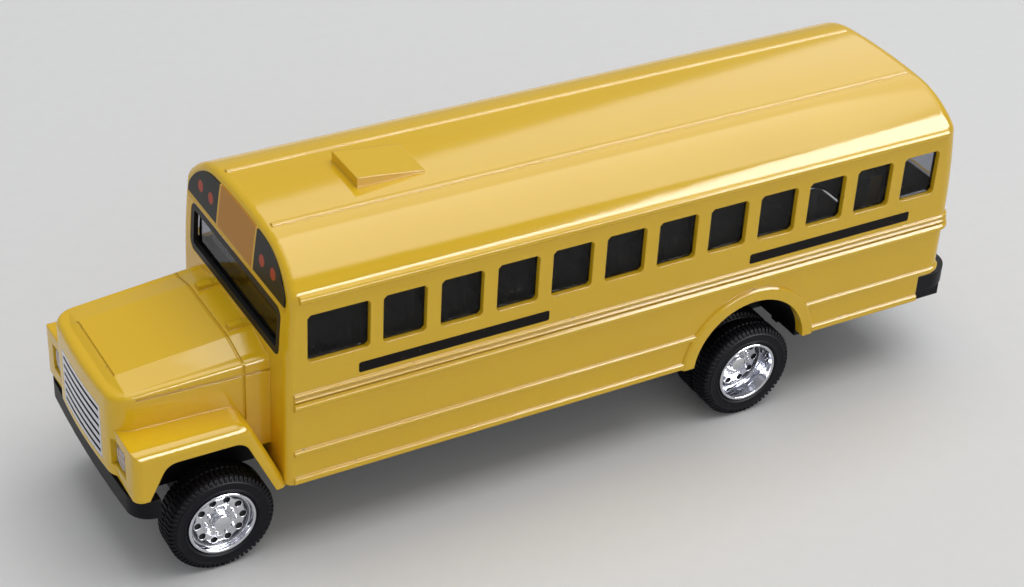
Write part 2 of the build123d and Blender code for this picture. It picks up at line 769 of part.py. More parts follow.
def grille():
    """Bright grille of level bars, bowed with the nose."""
    g = press_clearance
    back = bulkhead_x + nose_length - grille_back
    front = bulkhead_x + front_reach
    insert = block(back, front, -grille_half + g, grille_half - g, grille_bottom_z + g, grille_top_z - g)
    insert &= hood_block(0, bulkhead_x)
    pitch = (grille_height - grille_gap) / (grille_bars - 1)
    behind = hood_block(grille_gap_depth, bulkhead_x)
    side = grille_half - grille_frame
    for i in range(grille_bars - 1):
        low = grille_bottom_z + pitch * (i + 0.5)
        insert -= block(back, front, -side, side, low, low + grille_gap) - behind
    return insert


def headlamp():
    """Left headlamp: a square bezel with a round lens."""
    face_x = bulkhead_x + fender_front - lamp_recess
    y = lamp_inner + lamp_size / 2
    z = lamp_bottom_z + lamp_size / 2
    lens = bar(y, z, lens_radius, face_x - lamp_depth / 2, face_x + lens_rise)
    return lamp_pocket(lamp_depth, press_clearance) + lens


def header_label():
    """Blank lamp and sign panel over the windscreen."""
    panel = across(body_section(header_side, header_inset, window_top_z + header_gap),
                   bulkhead_x - 2 * wall, bulkhead_x + wall)
    ahead = sideways(Pos(header_thickness, 0) * end_outline(0), -wide, wide)
    return panel & (ahead - sideways(end_outline(0), -wide, wide))


def glazing():
    """One clear moulding behind all the windows, with raised panes, open below."""
    outer = wall + fit
    inner = outer + glazing_wall
    shell = body_form(outer, roof_wall + fit, glazing_bottom_z)
    raised = body_form(pane_recess, pane_recess, glazing_bottom_z)
    for panes in (window_row(fit), driver_window_cut(fit), windscreen_cut(fit), rear_window_cut(fit)):
        shell += panes & raised
    return shell - body_form(inner, roof_wall + fit + glazing_wall, 0)


def driving_place(front):
    """Driver's seat, dashboard and steering wheel on the left."""
    z = base_top_z
    y = (bench_inner + bench_outer) / 2
    seat = sideways(Pos(bulkhead_x - row_start + fit, 0) * seat_outline(),
                    y - driver_seat_half, y + driver_seat_half)
    dash = block(front - dash_depth, front, -bench_outer, bench_outer, z, z + dash_height)
    hub_x = front - dash_depth - column_length
    hub_z = z + dash_height - wheel_radius
    column = bar(y, hub_z, column_radius, hub_x, front - dash_depth / 2)
    ring = bar(y, hub_z, wheel_radius, hub_x, hub_x + wheel_thickness)
    ring -= bar(y, hub_z, wheel_radius - wheel_thickness, hub_x, hub_x + wheel_thickness)
    spoke = block(hub_x, hub_x + wheel_thickness, y - wheel_radius + wheel_thickness / 2,
                  y + wheel_radius - wheel_thickness / 2, hub_z - column_radius, hub_z + column_radius)
    return Part() + [seat, dash, column, ring, spoke]


def seat_outline():
    """Side view of a bench: cushion and back."""
    z = base_top_z
    return Polygon(
        (0, z), (seat_depth, z), (seat_depth, z + seat_height), (back_thickness, z + seat_height),
        (back_thickness, z + back_height), (0, z + back_height), align=None)


def interior():
    """Tray with a floor and rows of bench seats on each side of the aisle."""
    half = cavity_half - fit
    front = front_wall_x - wall - fit - glazing_wall - fit
    rear = rear_post_x + post_radius + fit
    tray = block(rear, front, -half, half, base_top_z, base_top_z + floor_thickness)
    first = bulkhead_x - row_start - row_window
    for i in range(row_count):
        place = first - i * row_pitch
        if place > rear:
            tray += both_sides(sideways(Pos(place, 0) * seat_outline(), bench_inner, bench_outer))
    tray += driving_place(front)
    well = rod(rear_arch_x, rear_arch_z, rear_arch_radius + well_wall + fit,
               rear_base_half - well_wall - fit, wide)
    return tray - both_sides(well)


def tyre(width, face, twin):
    """Left tyre, or two tyres side by side on one wheel."""
    inner = face - width
    shoulder = tyre_radius - tyre_shoulder
    # each point is a radius and a place across
    section = Polygon(
        (rim_radius, inner), (shoulder, inner), (tyre_radius, inner + tyre_shoulder),
        (tyre_radius, face - tyre_shoulder), (shoulder, face), (rim_radius, face), align=None)
    if twin:
        section -= Pos(tyre_radius, face - width / 2) * Rectangle(2 * twin_groove, twin_gap)
    return revolve(section, Axis.Y)


def hub(width, face, dish):
    """Left hub: rim, dished disc with hand holes, cap and bore."""
    outer = rim_radius - press_clearance
    lip = outer - hub_lip
    inner = face - width
    disc_face = face - dish
    cap_face = disc_face + hub_cap_height
    outline = Polygon(
        (0, inner), (outer, inner), (outer, face), (lip, face), (lip, disc_face),
        (hub_cap_radius, disc_face), (hub_cap_radius, cap_face), (0, cap_face), align=None)
    wheel = revolve(outline, Axis.Y)
    hole = RegularPolygon(hand_hole_radius, hand_hole_sides)
    places = PolarLocations(rim_radius - hand_hole_inset, hand_hole_count)
    holes = Sketch() + [place * hole for place in places]
    wheel -= sideways(holes, disc_face - hand_hole_depth, face)
    return wheel - rod(0, 0, axle_radius + press_clearance, 0, disc_face)


def axle(x, face, dish):
    """Steel axle that ends inside both hubs."""
    return rod(x, axle_z, axle_radius, dish - face + fit, face - dish - fit)


def pieces():
    """Every piece of the toy by name."""
    made = {
        "body_casting": body_casting(), "base_plate": base_plate(), "glazing": glazing(),
        "interior": interior(), "grille": grille(), "header_label": header_label(),
        "headlamp_left": headlamp(), "headlamp_right": mirror(headlamp(), Plane.XZ),
        "front_rivet": rivet(front_post_x), "rear_rivet": rivet(rear_post_x),
    }
    # columns: end, place along X, tyre width, outer face, dish of the hub, twin tyres
    wheels = (
        ("front", front_axle_x, front_tyre_width, front_wheel_face, front_hub_dish, False),
        ("rear", rear_axle_x, rear_tyre_width, rear_wheel_face, rear_hub_dish, True),
    )
    for end, x, width, face, dish, twin in wheels:
        made[end + "_axle"] = axle(x, face, dish)
        at = Pos(x, 0, axle_z)
        for name, piece in (("tyre", tyre(width, face, twin)), ("hub", hub(width, face, dish))):
            made[end + "_left_" + name] = at * piece
            made[end + "_right_" + name] = at * mirror(piece, Plane.XZ)
    return made


os.makedirs("parts", exist_ok=True)
for name, piece in pieces().items():
    export_step(piece, "parts/" + name + ".step")
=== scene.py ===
import math

import bmesh
import bpy
from mathutils import Matrix, Quaternion, Vector


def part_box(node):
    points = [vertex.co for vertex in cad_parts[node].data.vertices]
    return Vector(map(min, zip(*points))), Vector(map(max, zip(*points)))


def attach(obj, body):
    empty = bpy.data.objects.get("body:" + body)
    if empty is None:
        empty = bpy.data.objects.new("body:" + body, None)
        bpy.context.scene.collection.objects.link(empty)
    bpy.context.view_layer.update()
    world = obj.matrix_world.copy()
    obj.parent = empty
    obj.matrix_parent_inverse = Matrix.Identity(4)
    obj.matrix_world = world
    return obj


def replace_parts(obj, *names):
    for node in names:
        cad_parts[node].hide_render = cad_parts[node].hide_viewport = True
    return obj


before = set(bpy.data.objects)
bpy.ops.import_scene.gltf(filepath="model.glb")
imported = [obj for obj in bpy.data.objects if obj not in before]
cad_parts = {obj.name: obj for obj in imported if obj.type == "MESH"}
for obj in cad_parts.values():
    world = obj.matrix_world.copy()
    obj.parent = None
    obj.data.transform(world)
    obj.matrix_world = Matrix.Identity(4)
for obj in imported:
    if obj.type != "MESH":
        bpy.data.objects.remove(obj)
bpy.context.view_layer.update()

MM = 0.001
SIDES = (("left", 1), ("right", -1))

# Shapes: corners nearer than this are one, in millimetres, and edges sharper than this stay crisp, in degrees
MERGE_GAP = 0.0005
CRISP_EDGE = 32

# Tyres, in millimetres, with radii from the rim outwards
BEAD_RADIUS = 4.78
LINE_RADIUS = 6.2
SHOULDER_RADIUS = 6.55
TREAD_RADIUS = 7.22
TYRE_RADIUS = 7.36
TYRE_STEPS = 96
LUG_COUNT = 64
LUG_WIDTH = 0.4
LUG_ROOT = 0.2
LUG_START = 0.14

# Hubs, in millimetres
RIM_RADIUS = 4.74
WELL_RADIUS = 4.24
HOLE_BAND = (2.5, 3.8)
HOLE_COUNT = 10
HOLE_CIRCLE = 3.15
HOLE_RADIUS = 0.5
HOLE_DEPTH = 0.35
HOLE_STEPS = 16
SHADE_GAP = 0.02
SHADE_DEPTH = 0.1
CAP_RADIUS = 1.25
CAP_HEIGHT = 0.9
HUB_STEPS = 80
NUT_COUNT = 10
NUT_CIRCLE = 2.02
NUT_TAPER = 0.82

# Nut and stud: radius, height, corners
NUT_PIECES = [
    (0.3, 0.4, 6),
    (0.13, 0.58, 10),
]

# Wheels: end of the bus, width of one tyre ring, rings, depth of the disc behind the face
WHEELS = [
    ("front", 4.6, 1, 0.9),
    ("rear", 3.8, 2, 3.0),
]

# Headlamps, in millimetres
LAMP_PLAY = 0.01
LAMP_DEPTH = 0.9
LAMP_RECESS = 0.2
LAMP_STEPS = 48
BEZEL_ROUND = 0.14
BEZEL_LIP = 0.16
BEZEL_SLOPE = 0.06
LENS_RADIUS = 1.5
LENS_RISE = 0.25
LENS_SEAT = 0.18

# Front wall and windscreen, in millimetres
FRONT_WALL_X = 43.85
LEAN_START_Z = 25.5
LEAN_RADIUS = 130.0
SCREEN_HALF = 14.5
SCREEN_LOW = 30.5
SCREEN_HIGH = 37.6
SCREEN_CORNER = 1.4
SEAL_WIDTH = 1.0
SEAL_DEPTH = 0.62
SEAL_PLAY = 0.02

# Printed side stripes, in millimetres
WALL_Y = 17.0
STRIPE_LOW = 26.85
STRIPE_HIGH = 28.4
STRIPE_DEPTH = 0.03
STRIPE_SEAT = 0.02
STRIPE_CORNER = 0.3
CORNER_STEPS = 6

# Stripes: name, side, front end, rear end
STRIPES = [
    ("left_front", 1, 33.75, 5.8),
    ("left_rear", 1, -26.4, -54.1),
    ("right_front", -1, 30.0, 5.8),
    ("right_rear", -1, -26.4, -54.1),
]

# Header print, in millimetres
SIGN_HALF = 5.7
HEADER_FOOT_Z = 38.65
HEADER_LAMPS_Y = (8.2, 11.6)
HEADER_LAMP_Z = 41.2
HEADER_LAMP_RADIUS = 0.8
HEADER_LAMP_BLUR = 0.12
DIVIDER_HALF = 0.22
PRINT_BLUR = 0.06

# Inside of the casting, in millimetres
CABIN_MIDDLE = (-9.0, 30.0)
CABIN_REAR = -61.1
CABIN_FRONT = 42.75
CABIN_HALF = 15.78
CABIN_TOP = 44.4
INWARD = -0.5

# Camera, in millimetres, with its roll in radians
CAMERA_PLACE = (132.861, 218.483, 189.772)
CAMERA_AIM = (2.108, 0.942, 20.238)
CAMERA_ROLL = 0.059
CAMERA_LENS = 76.4
CAMERA_SENSOR = 36.0
CAMERA_CLIP = (0.01, 20.0)

# Studio, in metres
FLOOR_HALF = 4.0
SKY_COLOUR = (0.96, 0.98, 1.0, 1.0)
SKY_STRENGTH = 0.40
LAMP_AIM = (0.0, 0.0, 0.02)

# Soft lamps: name, place, direction of the length, length and width, watts, seen in gloss alone
SOFT_LAMPS = [
    ("ceiling", (-0.2, 0.0, 0.95), (0, 1, 0), (1.0, 1.0), 6.0, False),
    ("sheen", (-0.5, -0.2, 0.85), (0, 1, 0), (1.5, 1.0), 8.0, True),
    ("side_fill", (0.1, 0.8, 0.38), (1, 0, 0), (0.8, 0.4), 0.5, False),
    ("window", (-0.36, 0.5, 0.36), (-0.6, -0.25, 0.2), (0.8, 0.34), 12.5, True),
]


class Wire:
    """A value on a material's surface that can be used in sums like a number."""

    def __init__(self, finish, socket):
        self.finish = finish
        self.socket = socket

    def reckon(self, operation, *values):
        return self.finish.node("ShaderNodeMath", {"operation": operation}, dict(enumerate(values)))

    def __add__(self, other):
        return self.reckon("ADD", self, other)

    def __radd__(self, other):
        return self.reckon("ADD", other, self)

    def __sub__(self, other):
        return self.reckon("SUBTRACT", self, other)

    def __rsub__(self, other):
        return self.reckon("SUBTRACT", other, self)

    def __mul__(self, other):
        return self.reckon("MULTIPLY", self, other)

    def __rmul__(self, other):
        return self.reckon("MULTIPLY", other, self)

    def __pow__(self, other):
        return self.reckon("POWER", self, other)

    def __abs__(self):
        return self.reckon("ABSOLUTE", self)

    def __gt__(self, other):
        return self.reckon("GREATER_THAN", self, other)

    def __lt__(self, other):
        return self.reckon("LESS_THAN", self, other)

    def wave(self):
        """Swings between 0 and 1 as the value grows."""
        return self.reckon("SINE", self) * 0.5 + 0.5


class Finish:
    """One surface finish: a material with a Principled shader and the nodes that feed it."""

    def __init__(self, name, constants):
        self.material = bpy.data.materials.new(name)
        self.material.use_nodes = True
        self.tree = self.material.node_tree
        self.shader = self.tree.nodes["Principled BSDF"]
        for socket, value in constants.items():
            self.shader.inputs[socket].default_value = value

    def node(self, kind, settings=None, sockets=None, output=0):
        """Adds a node, sets it, links or fills its sockets and returns one of its outputs."""
        made = self.tree.nodes.new(kind)
        for name, value in (settings or {}).items():
            setattr(made, name, value)
        for key, value in (sockets or {}).items():
            if isinstance(value, Wire):
                self.tree.links.new(value.socket, made.inputs[key])
            else:
                made.inputs[key].default_value = value
        return Wire(self, made.outputs[output])

    def feed(self, **wires):
        """Links values to the shader's sockets, named with _ for a space."""
        for name, wire in wires.items():
            self.tree.links.new(wire.socket, self.shader.inputs[name.replace("_", " ")])

    def place(self):
        """Object coordinates in millimetres."""
        spot = self.node("ShaderNodeTexCoord", output="Object")
        return self.node("ShaderNodeVectorMath", {"operation": "SCALE"}, {0: spot, "Scale": 1 / MM})

    def stretch(self, place, factors):
        """The same place with each axis drawn out or pressed together."""
        return self.node("ShaderNodeVectorMath", {"operation": "MULTIPLY"}, {0: place, 1: factors})

    def axes(self, vector):
        """The x, y and z of a place or a direction."""
        return [self.node("ShaderNodeSeparateXYZ", None, {0: vector}, axis) for axis in range(3)]

    def facing(self):
        """The direction that the surface faces."""
        return self.node("ShaderNodeNewGeometry", output="Normal")

    def noise(self, place, scale, detail=3.0, roughness=0.5):
        sockets = {"Vector": place, "Scale": scale, "Detail": detail, "Roughness": roughness}
        return self.node("ShaderNodeTexNoise", None, sockets, "Fac")

    def step(self, value, low, high):
        """Rises smoothly from 0 at low to 1 at high."""
        sockets = {"Value": value, "From Min": low, "From Max": high, "To Min": 0.0, "To Max": 1.0}
        return self.node("ShaderNodeMapRange", {"interpolation_type": "SMOOTHSTEP"}, sockets)

    def within(self, value, limit, blur):
        """1 where a value is under a limit and 0 past it, with a soft edge."""
        return 1 - self.step(value, limit - blur, limit + blur)

    def mix(self, share, first, second):
        """The first colour where the share is 0 and the second where it is 1."""
        sockets = {"Factor": share, 6: first, 7: second}
        return self.node("ShaderNodeMix", {"data_type": "RGBA"}, sockets, 2)

    def edge(self, radius):
        """The softened normal of an edge, and how far it turns from the plain one."""
        soft = self.node("ShaderNodeBevel", {"samples": 8}, {"Radius": radius * MM})
        sockets = {0: soft, 1: self.facing()}
        turn = self.node("ShaderNodeVectorMath", {"operation": "DOT_PRODUCT"}, sockets, "Value")
        return soft, 1 - turn

    def recess(self, reach):
        """1 in the open and towards 0 in a groove or corner."""
        sockets = {"Distance": reach * MM}
        return self.node("ShaderNodeAmbientOcclusion", {"samples": 8}, sockets, "AO")

    def bump(self, height, depth, normal=None):
        """A normal for small hills of a depth in millimetres, over a softened normal if one is given."""
        sockets = {"Height": height, "Distance": depth * MM, "Strength": 1.0}
        if normal is not None:
            sockets["Normal"] = normal
        return self.node("ShaderNodeBump", None, sockets)


def rgb(red, green, blue):
    return (red, green, blue, 1.0)


def cabin_shade_mask(paint, place):
    """1 on the walls that face into the cabin: a mask for painted shade that makes the inside of the casting
    near black.
    """
    x, y, z = paint.axes(place)
    turn_x, turn_y, turn_z = paint.axes(paint.facing())
    middle_x, middle_z = CABIN_MIDDLE
    outward = turn_x * (x - middle_x) + turn_y * y + turn_z * (z - middle_z)
    inside = (x > CABIN_REAR) * (x < CABIN_FRONT) * (abs(y) < CABIN_HALF) * (z < CABIN_TOP)
    return (outward < INWARD) * inside


def yellow_enamel():
    """Gloss paint with a slight peel, dust on top, grime with painted shade in its seams and corners, painted
    shade on the walls facing into the cabin, and a few chipped edges.
    """
    paint = Finish("yellow_enamel", {"IOR": 1.5})
    place = paint.place()
    soft, edge = paint.edge(0.25)
    cloud = paint.noise(place, 0.05, 2)
    speck = paint.noise(place, 2.6, 4)
    peel = paint.noise(place, 0.9, 2)
    upward = paint.step(paint.axes(paint.facing())[2], 0.6, 0.95)
    dust = paint.step(paint.noise(place, 3.4, 5, 0.6), 0.66, 0.76) * upward
    # Painted shade with grime: grooves and corners darken the more closed in they are, mixed towards brown
    # below.
    seam_grime_and_shade = 1 - paint.step(paint.recess(0.45), 0.15, 0.6)
    chip = paint.step(edge, 0.05, 0.16) * paint.step(paint.noise(place, 0.8, 6), 0.68, 0.7)
    # Painted shade: the walls facing into the cabin are made near black in the mixes below.
    cabin_shade = cabin_shade_mask(paint, place)
    body = paint.mix(cloud, rgb(0.76, 0.465, 0.014), rgb(0.81, 0.51, 0.018))
    body = paint.mix(dust * 0.12, body, rgb(0.62, 0.56, 0.42))
    body = paint.mix(seam_grime_and_shade * 0.3, body, rgb(0.30, 0.17, 0.012))
    body = paint.mix(chip, body, rgb(0.07, 0.055, 0.04))
    body = paint.mix(cabin_shade, body, rgb(0.016, 0.014, 0.013))
    gloss = 0.08 + 0.05 * speck + 0.08 * dust + 0.2 * chip + 0.1 * seam_grime_and_shade + 0.5 * cabin_shade
    paint.feed(Base_Color=body, Roughness=gloss, Normal=paint.bump(peel, 0.008, soft))
    return paint


def black_moulding():
    """The satin black plastic of the base and bumpers, rubbed grey on its edges."""
    plastic = Finish("black_moulding", {"IOR": 1.5, "Specular IOR Level": 0.12})
    place = plastic.place()
    soft, edge = plastic.edge(0.18)
    grain = plastic.noise(place, 5.0, 4)
    cloud = plastic.noise(place, 0.12, 2)
    rub = plastic.step(edge, 0.05, 0.3) * plastic.step(grain, 0.45, 0.65)
    tone = plastic.mix(cloud, rgb(0.003, 0.003, 0.005), rgb(0.007, 0.007, 0.010))
    tone = plastic.mix(rub * 0.5, tone, rgb(0.035, 0.036, 0.042))
    plastic.feed(Base_Color=tone, Roughness=0.36 + 0.14 * grain, Normal=plastic.bump(grain, 0.01, soft))
    return plastic


def window_plastic():
    """Clear, slightly grey plastic with faint upright streaks."""
    clear = Finish("window_plastic", {"IOR": 1.22, "Transmission Weight": 1.0})
    place = clear.place()
    haze = clear.noise(place, 0.5, 5)
    streak = clear.noise(clear.stretch(place, (0.3, 0.3, 1.6)), 0.7, 4)
    tint = clear.mix(haze, rgb(0.50, 0.51, 0.55), rgb(0.58, 0.59, 0.63))
    clear.feed(Base_Color=tint, Roughness=0.015 + 0.05 * clear.step(streak, 0.55, 0.8))
    return clear


def seat_moulding():
    """The dull dark plastic of the seats and floor tray."""
    plastic = Finish("seat_moulding", {"IOR": 1.5, "Specular IOR Level": 0.25})
    place = plastic.place()
    soft, edge = plastic.edge(0.2)
    grain = plastic.noise(place, 4.0, 4)
    rub = plastic.step(edge, 0.05, 0.3) * grain
    tone = plastic.mix(grain, rgb(0.006, 0.006, 0.007), rgb(0.012, 0.011, 0.013))
    tone = plastic.mix(rub * 0.4, tone, rgb(0.03, 0.03, 0.034))
    plastic.feed(Base_Color=tone, Roughness=0.5 + 0.2 * grain, Normal=plastic.bump(grain, 0.02, soft))
    return plastic


def bright_plating():
    """Bright plating on plastic, hazy in places, with painted shade in its corners."""
    chrome = Finish("bright_plating", {"Metallic": 1.0})
    place = chrome.place()
    soft, edge = chrome.edge(0.12)
    haze = chrome.noise(place, 1.1, 4)
    rub = chrome.step(edge, 0.05, 0.3) * chrome.step(haze, 0.5, 0.7)
    # Painted shade: the plating goes near black in recesses and corners.
    plating_corner_shade = 1 - chrome.step(chrome.recess(0.6), 0.15, 0.75)
    tone = chrome.mix(haze, rgb(0.56, 0.57, 0.62), rgb(0.70, 0.71, 0.75))
    tone = chrome.mix(rub * 0.4, tone, rgb(0.45, 0.43, 0.42))
    tone = chrome.mix(plating_corner_shade * 0.9, tone, rgb(0.02, 0.02, 0.028))
    gloss = 0.06 + 0.06 * haze + 0.25 * plating_corner_shade
    chrome.feed(Base_Color=tone, Roughness=gloss, Normal=chrome.bump(haze, 0.002, soft))
    return chrome


def lens_plastic():
    """Headlamp lens with upright flutes and cross bands; its light and dark tones where they cross and its
    pink and dark red tints are painted reflection.
    """
    lens = Finish("lens_plastic", {"IOR": 1.49, "Coat Weight": 0.6, "Coat Roughness": 0.05})
    place = lens.place()
    across, height = lens.axes(place)[1:]
    flute = (across * 11.0).wave()
    cross = (height * 6.0).wave()
    speck = lens.noise(place, 2.0, 4)
    # Painted reflection: light and dark tones over the flutes and bands, and pink and dark red tints, stand
    # in for what the lens reflects.
    tone = lens.mix(flute * cross, rgb(0.30, 0.24, 0.26), rgb(0.62, 0.58, 0.60))
    tone = lens.mix(speck * 0.4, tone, rgb(0.34, 0.18, 0.20))
    lens.feed(Base_Color=tone, Roughness=0.12 + 0.1 * speck, Normal=lens.bump(flute, 0.03))
    return lens


def tyre_rubber():
    """Soft black rubber, dusty and rubbed grey on the lugs' edges; the black's bluish tint is painted
    reflection and the bluish grey on the edges is partly painted highlight.
    """
    rubber = Finish("tyre_rubber", {"IOR": 1.5, "Specular IOR Level": 0.14})
    place = rubber.place()
    soft, edge = rubber.edge(0.08)
    grain = rubber.noise(place, 6.0, 4)
    dust = rubber.noise(place, 0.5, 5)
    rub = rubber.step(edge, 0.03, 0.25) * rubber.step(dust, 0.35, 0.6)
    # Painted reflection: the black is tinted bluish.
    tone = rubber.mix(dust, rgb(0.003, 0.003, 0.006), rgb(0.007, 0.007, 0.011))
    # Rubbing with painted highlight: bluish grey on the lugs' dusty edges.
    tone = rubber.mix(rub * 0.4, tone, rgb(0.055, 0.058, 0.075))
    rubber.feed(Base_Color=tone, Roughness=0.42 + 0.16 * grain, Normal=rubber.bump(grain, 0.012, soft))
    return rubber


def seal_rubber():
    """The black strip round the windscreen, which also stands in as painted shade at its edges."""
    rubber = Finish("seal_rubber", {"IOR": 1.5, "Specular IOR Level": 0.3})
    place = rubber.place()
    soft, edge = rubber.edge(0.12)
    grain = rubber.noise(place, 5.0, 4)
    tone = rubber.mix(grain, rgb(0.006, 0.006, 0.006), rgb(0.014, 0.014, 0.014))
    tone = rubber.mix(rubber.step(edge, 0.05, 0.3) * 0.4, tone, rgb(0.04, 0.04, 0.04))
    rubber.feed(Base_Color=tone, Roughness=0.4 + 0.2 * grain, Normal=rubber.bump(grain, 0.01, soft))
    return rubber


def plain_steel():
    """Drawn steel of the axles and rivets, with lines along the rod."""
    steel = Finish("plain_steel", {"Metallic": 1.0})
    place = steel.place()
    soft, edge = steel.edge(0.1)
    drawn = steel.noise(steel.stretch(place, (1.0, 0.15, 1.0)), 3.0, 5)
    tone = steel.mix(drawn, rgb(0.40, 0.40, 0.41), rgb(0.58, 0.58, 0.6))
    tone = steel.mix(steel.step(edge, 0.05, 0.3) * 0.5, tone, rgb(0.7, 0.7, 0.71))
    steel.feed(Base_Color=tone, Roughness=0.28 + 0.15 * drawn, Normal=steel.bump(drawn, 0.01, soft))
    return steel


def stripe_ink():
    """Black print, worn thin in spots."""
    ink = Finish("stripe_ink", {"IOR": 1.5, "Specular IOR Level": 0.1})
    place = ink.place()
    speck = ink.noise(place, 3.0, 5)
    worn = ink.step(ink.noise(place, 1.3, 6), 0.66, 0.72)
    tone = ink.mix(speck, rgb(0.004, 0.003, 0.003), rgb(0.008, 0.006, 0.005))
    tone = ink.mix(worn * 0.6, tone, rgb(0.10, 0.06, 0.012))
    ink.feed(Base_Color=tone, Roughness=0.26 + 0.14 * speck, Normal=ink.bump(speck, 0.006))
    return ink


def header_print():
    """The panel over the windscreen: a blank sign between two black fields with red lamps."""
    label = Finish("header_print", {"IOR": 1.5, "Specular IOR Level": 0.14})
    place = label.place()
    y, height = label.axes(place)[1:]
    across = abs(y)
    speck = label.noise(place, 2.5, 4)
    lamps = 0.0
    for middle in HEADER_LAMPS_Y:
        off = ((across - middle) ** 2 + (height - HEADER_LAMP_Z) ** 2) ** 0.5
        lamps = label.within(off, HEADER_LAMP_RADIUS, HEADER_LAMP_BLUR) + lamps
    sign = label.within(across, SIGN_HALF, PRINT_BLUR)
    line = label.within(abs(across - SIGN_HALF), DIVIDER_HALF, PRINT_BLUR)
    foot = label.within(height, HEADER_FOOT_Z, PRINT_BLUR)
    amber = label.mix(speck, rgb(0.46, 0.20, 0.016), rgb(0.55, 0.25, 0.022))
    tone = label.mix(speck, rgb(0.007, 0.007, 0.006), rgb(0.013, 0.012, 0.010))
    tone = label.mix(lamps, tone, rgb(0.42, 0.05, 0.012))
    tone = label.mix(sign, tone, amber)
    tone = label.mix(line, tone, rgb(0.72, 0.44, 0.05))
    tone = label.mix(foot, tone, rgb(0.70, 0.43, 0.03))
    label.feed(Base_Color=tone, Roughness=0.26 + 0.12 * speck, Normal=label.bump(speck, 0.005))
    return label


def floor_paper():
    paper = Finish("floor_paper", {"Roughness": 0.9, "Specular IOR Level": 0.2})
    fibre = paper.noise(paper.place(), 0.4, 4)
    paper.feed(Base_Color=paper.mix(fibre, rgb(0.74, 0.737, 0.735), rgb(0.77, 0.767, 0.765)))
    return paper


def dress(names, finish):
    """Gives CAD nodes a finish."""
    for name in names:
        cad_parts[name].data.materials.clear()
        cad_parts[name].data.materials.append(finish.material)


def set_up(name, data):
    """Puts a mesh, lamp or camera into the scene."""
    made = bpy.data.objects.new(name, data)
    bpy.context.scene.collection.objects.link(made)
    return made


def mesh_of(name, shape, finish):
    """Ends a shape and turns it into a mesh with a finish."""
    mesh = bpy.data.meshes.new(name)
    shape.to_mesh(mesh)
    shape.free()
    mesh.materials.append(finish.material)
    return mesh


def set_piece(name, shape, finish, body):
    """Turns a shape drawn in millimetres into a piece that rides on a body."""
    bmesh.ops.remove_doubles(shape, verts=shape.verts, dist=MERGE_GAP)
    bmesh.ops.recalc_face_normals(shape, faces=shape.faces)
    bmesh.ops.scale(shape, vec=(MM, MM, MM), verts=shape.verts)
    mesh = mesh_of(name, shape, finish)
    mesh.shade_smooth()
    mesh.set_sharp_from_angle(angle=math.radians(CRISP_EDGE))
    piece = set_up(name, mesh)
    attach(piece, body)
    return piece


def chain_of(shape, points, closed):
    """A row of edges through a few (x, y, z) points."""
    corners = [shape.verts.new(point) for point in points]
    ends = corners[1:] + corners[:1] if closed else corners[1:]
    sides = [shape.edges.new(pair) for pair in zip(corners, ends)]
    return corners, sides


def with_sides(corners):
    """Corners together with the edges and faces that meet there."""
    sides = dict.fromkeys(item for corner in corners for item in (*corner.link_edges, *corner.link_faces))
    return corners + list(sides)


def turn_whole(shape, geometry, steps, axis=(0, 1, 0)):
    """Turns a section once round an axis through the origin."""
    bmesh.ops.spin(
        shape, geom=geometry, cent=(0, 0, 0), axis=axis, dvec=(0, 0, 0),
        angle=math.tau, steps=steps, use_merge=True, use_duplicate=False,
    )


def repeat_round(shape, geometry, count):
    """Sets copies of a part evenly round the axle's line."""
    bmesh.ops.spin(
        shape, geom=geometry, cent=(0, 0, 0), axis=(0, 1, 0), dvec=(0, 0, 0),
        angle=math.tau * (count - 1) / count, steps=count - 1, use_merge=False, use_duplicate=True,
    )


def thicken(shape, faces, way):
    """Pulls faces out into a solid along a vector and returns the corners that moved."""
    pulled = bmesh.ops.extrude_face_region(shape, geom=faces)["geom"]
    moved = [item for item in pulled if isinstance(item, bmesh.types.BMVert)]
    bmesh.ops.translate(shape, vec=way, verts=moved)
    return moved


def tilt(shape, turn, axis, corners):
    bmesh.ops.rotate(shape, cent=(0, 0, 0), matrix=Matrix.Rotation(turn, 3, axis), verts=corners)


def wheel_span(node):
    """How far out a wheel's node reaches, and how wide it is, in millimetres."""
    low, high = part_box(node)
    return max(-low.y, high.y) / MM, (high.y - low.y) / MM


def seat_wheel(shape, end, side):
    """Moves a left wheel drawn round the origin to its axle and side."""
    low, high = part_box(end + "_axle")
    bmesh.ops.scale(shape, vec=(1, side, 1), verts=shape.verts)
    bmesh.ops.translate(shape, vec=(low + high) / (2 * MM), verts=shape.verts)


def carcass(shape, middle, half):
    """The plain tyre ring under the lugs, turned from half of its section and mirrored."""
    near = [
        (BEAD_RADIUS, half - 0.5),
        (BEAD_RADIUS + 0.1, half - 0.16),
        (BEAD_RADIUS + 0.3, half - 0.08),
        (BEAD_RADIUS + 0.38, half),
        (BEAD_RADIUS + 0.5, half),
        (BEAD_RADIUS + 0.58, half - 0.07),
        (LINE_RADIUS - 0.3, half - 0.03),
        (LINE_RADIUS, half - 0.03),
        (LINE_RADIUS + 0.06, half),
        (LINE_RADIUS + 0.18, half - 0.01),
        (LINE_RADIUS + 0.24, half - 0.08),
        (SHOULDER_RADIUS, half - 0.14),
        (SHOULDER_RADIUS + 0.35, half - 0.38),
        (TREAD_RADIUS, half - 0.8),
    ]
    section = near + [(radius, -offset) for radius, offset in reversed(near)]
    corners, sides = chain_of(shape, [(radius, middle + offset, 0) for radius, offset in section], True)
    turn_whole(shape, corners + sides, TYRE_STEPS)


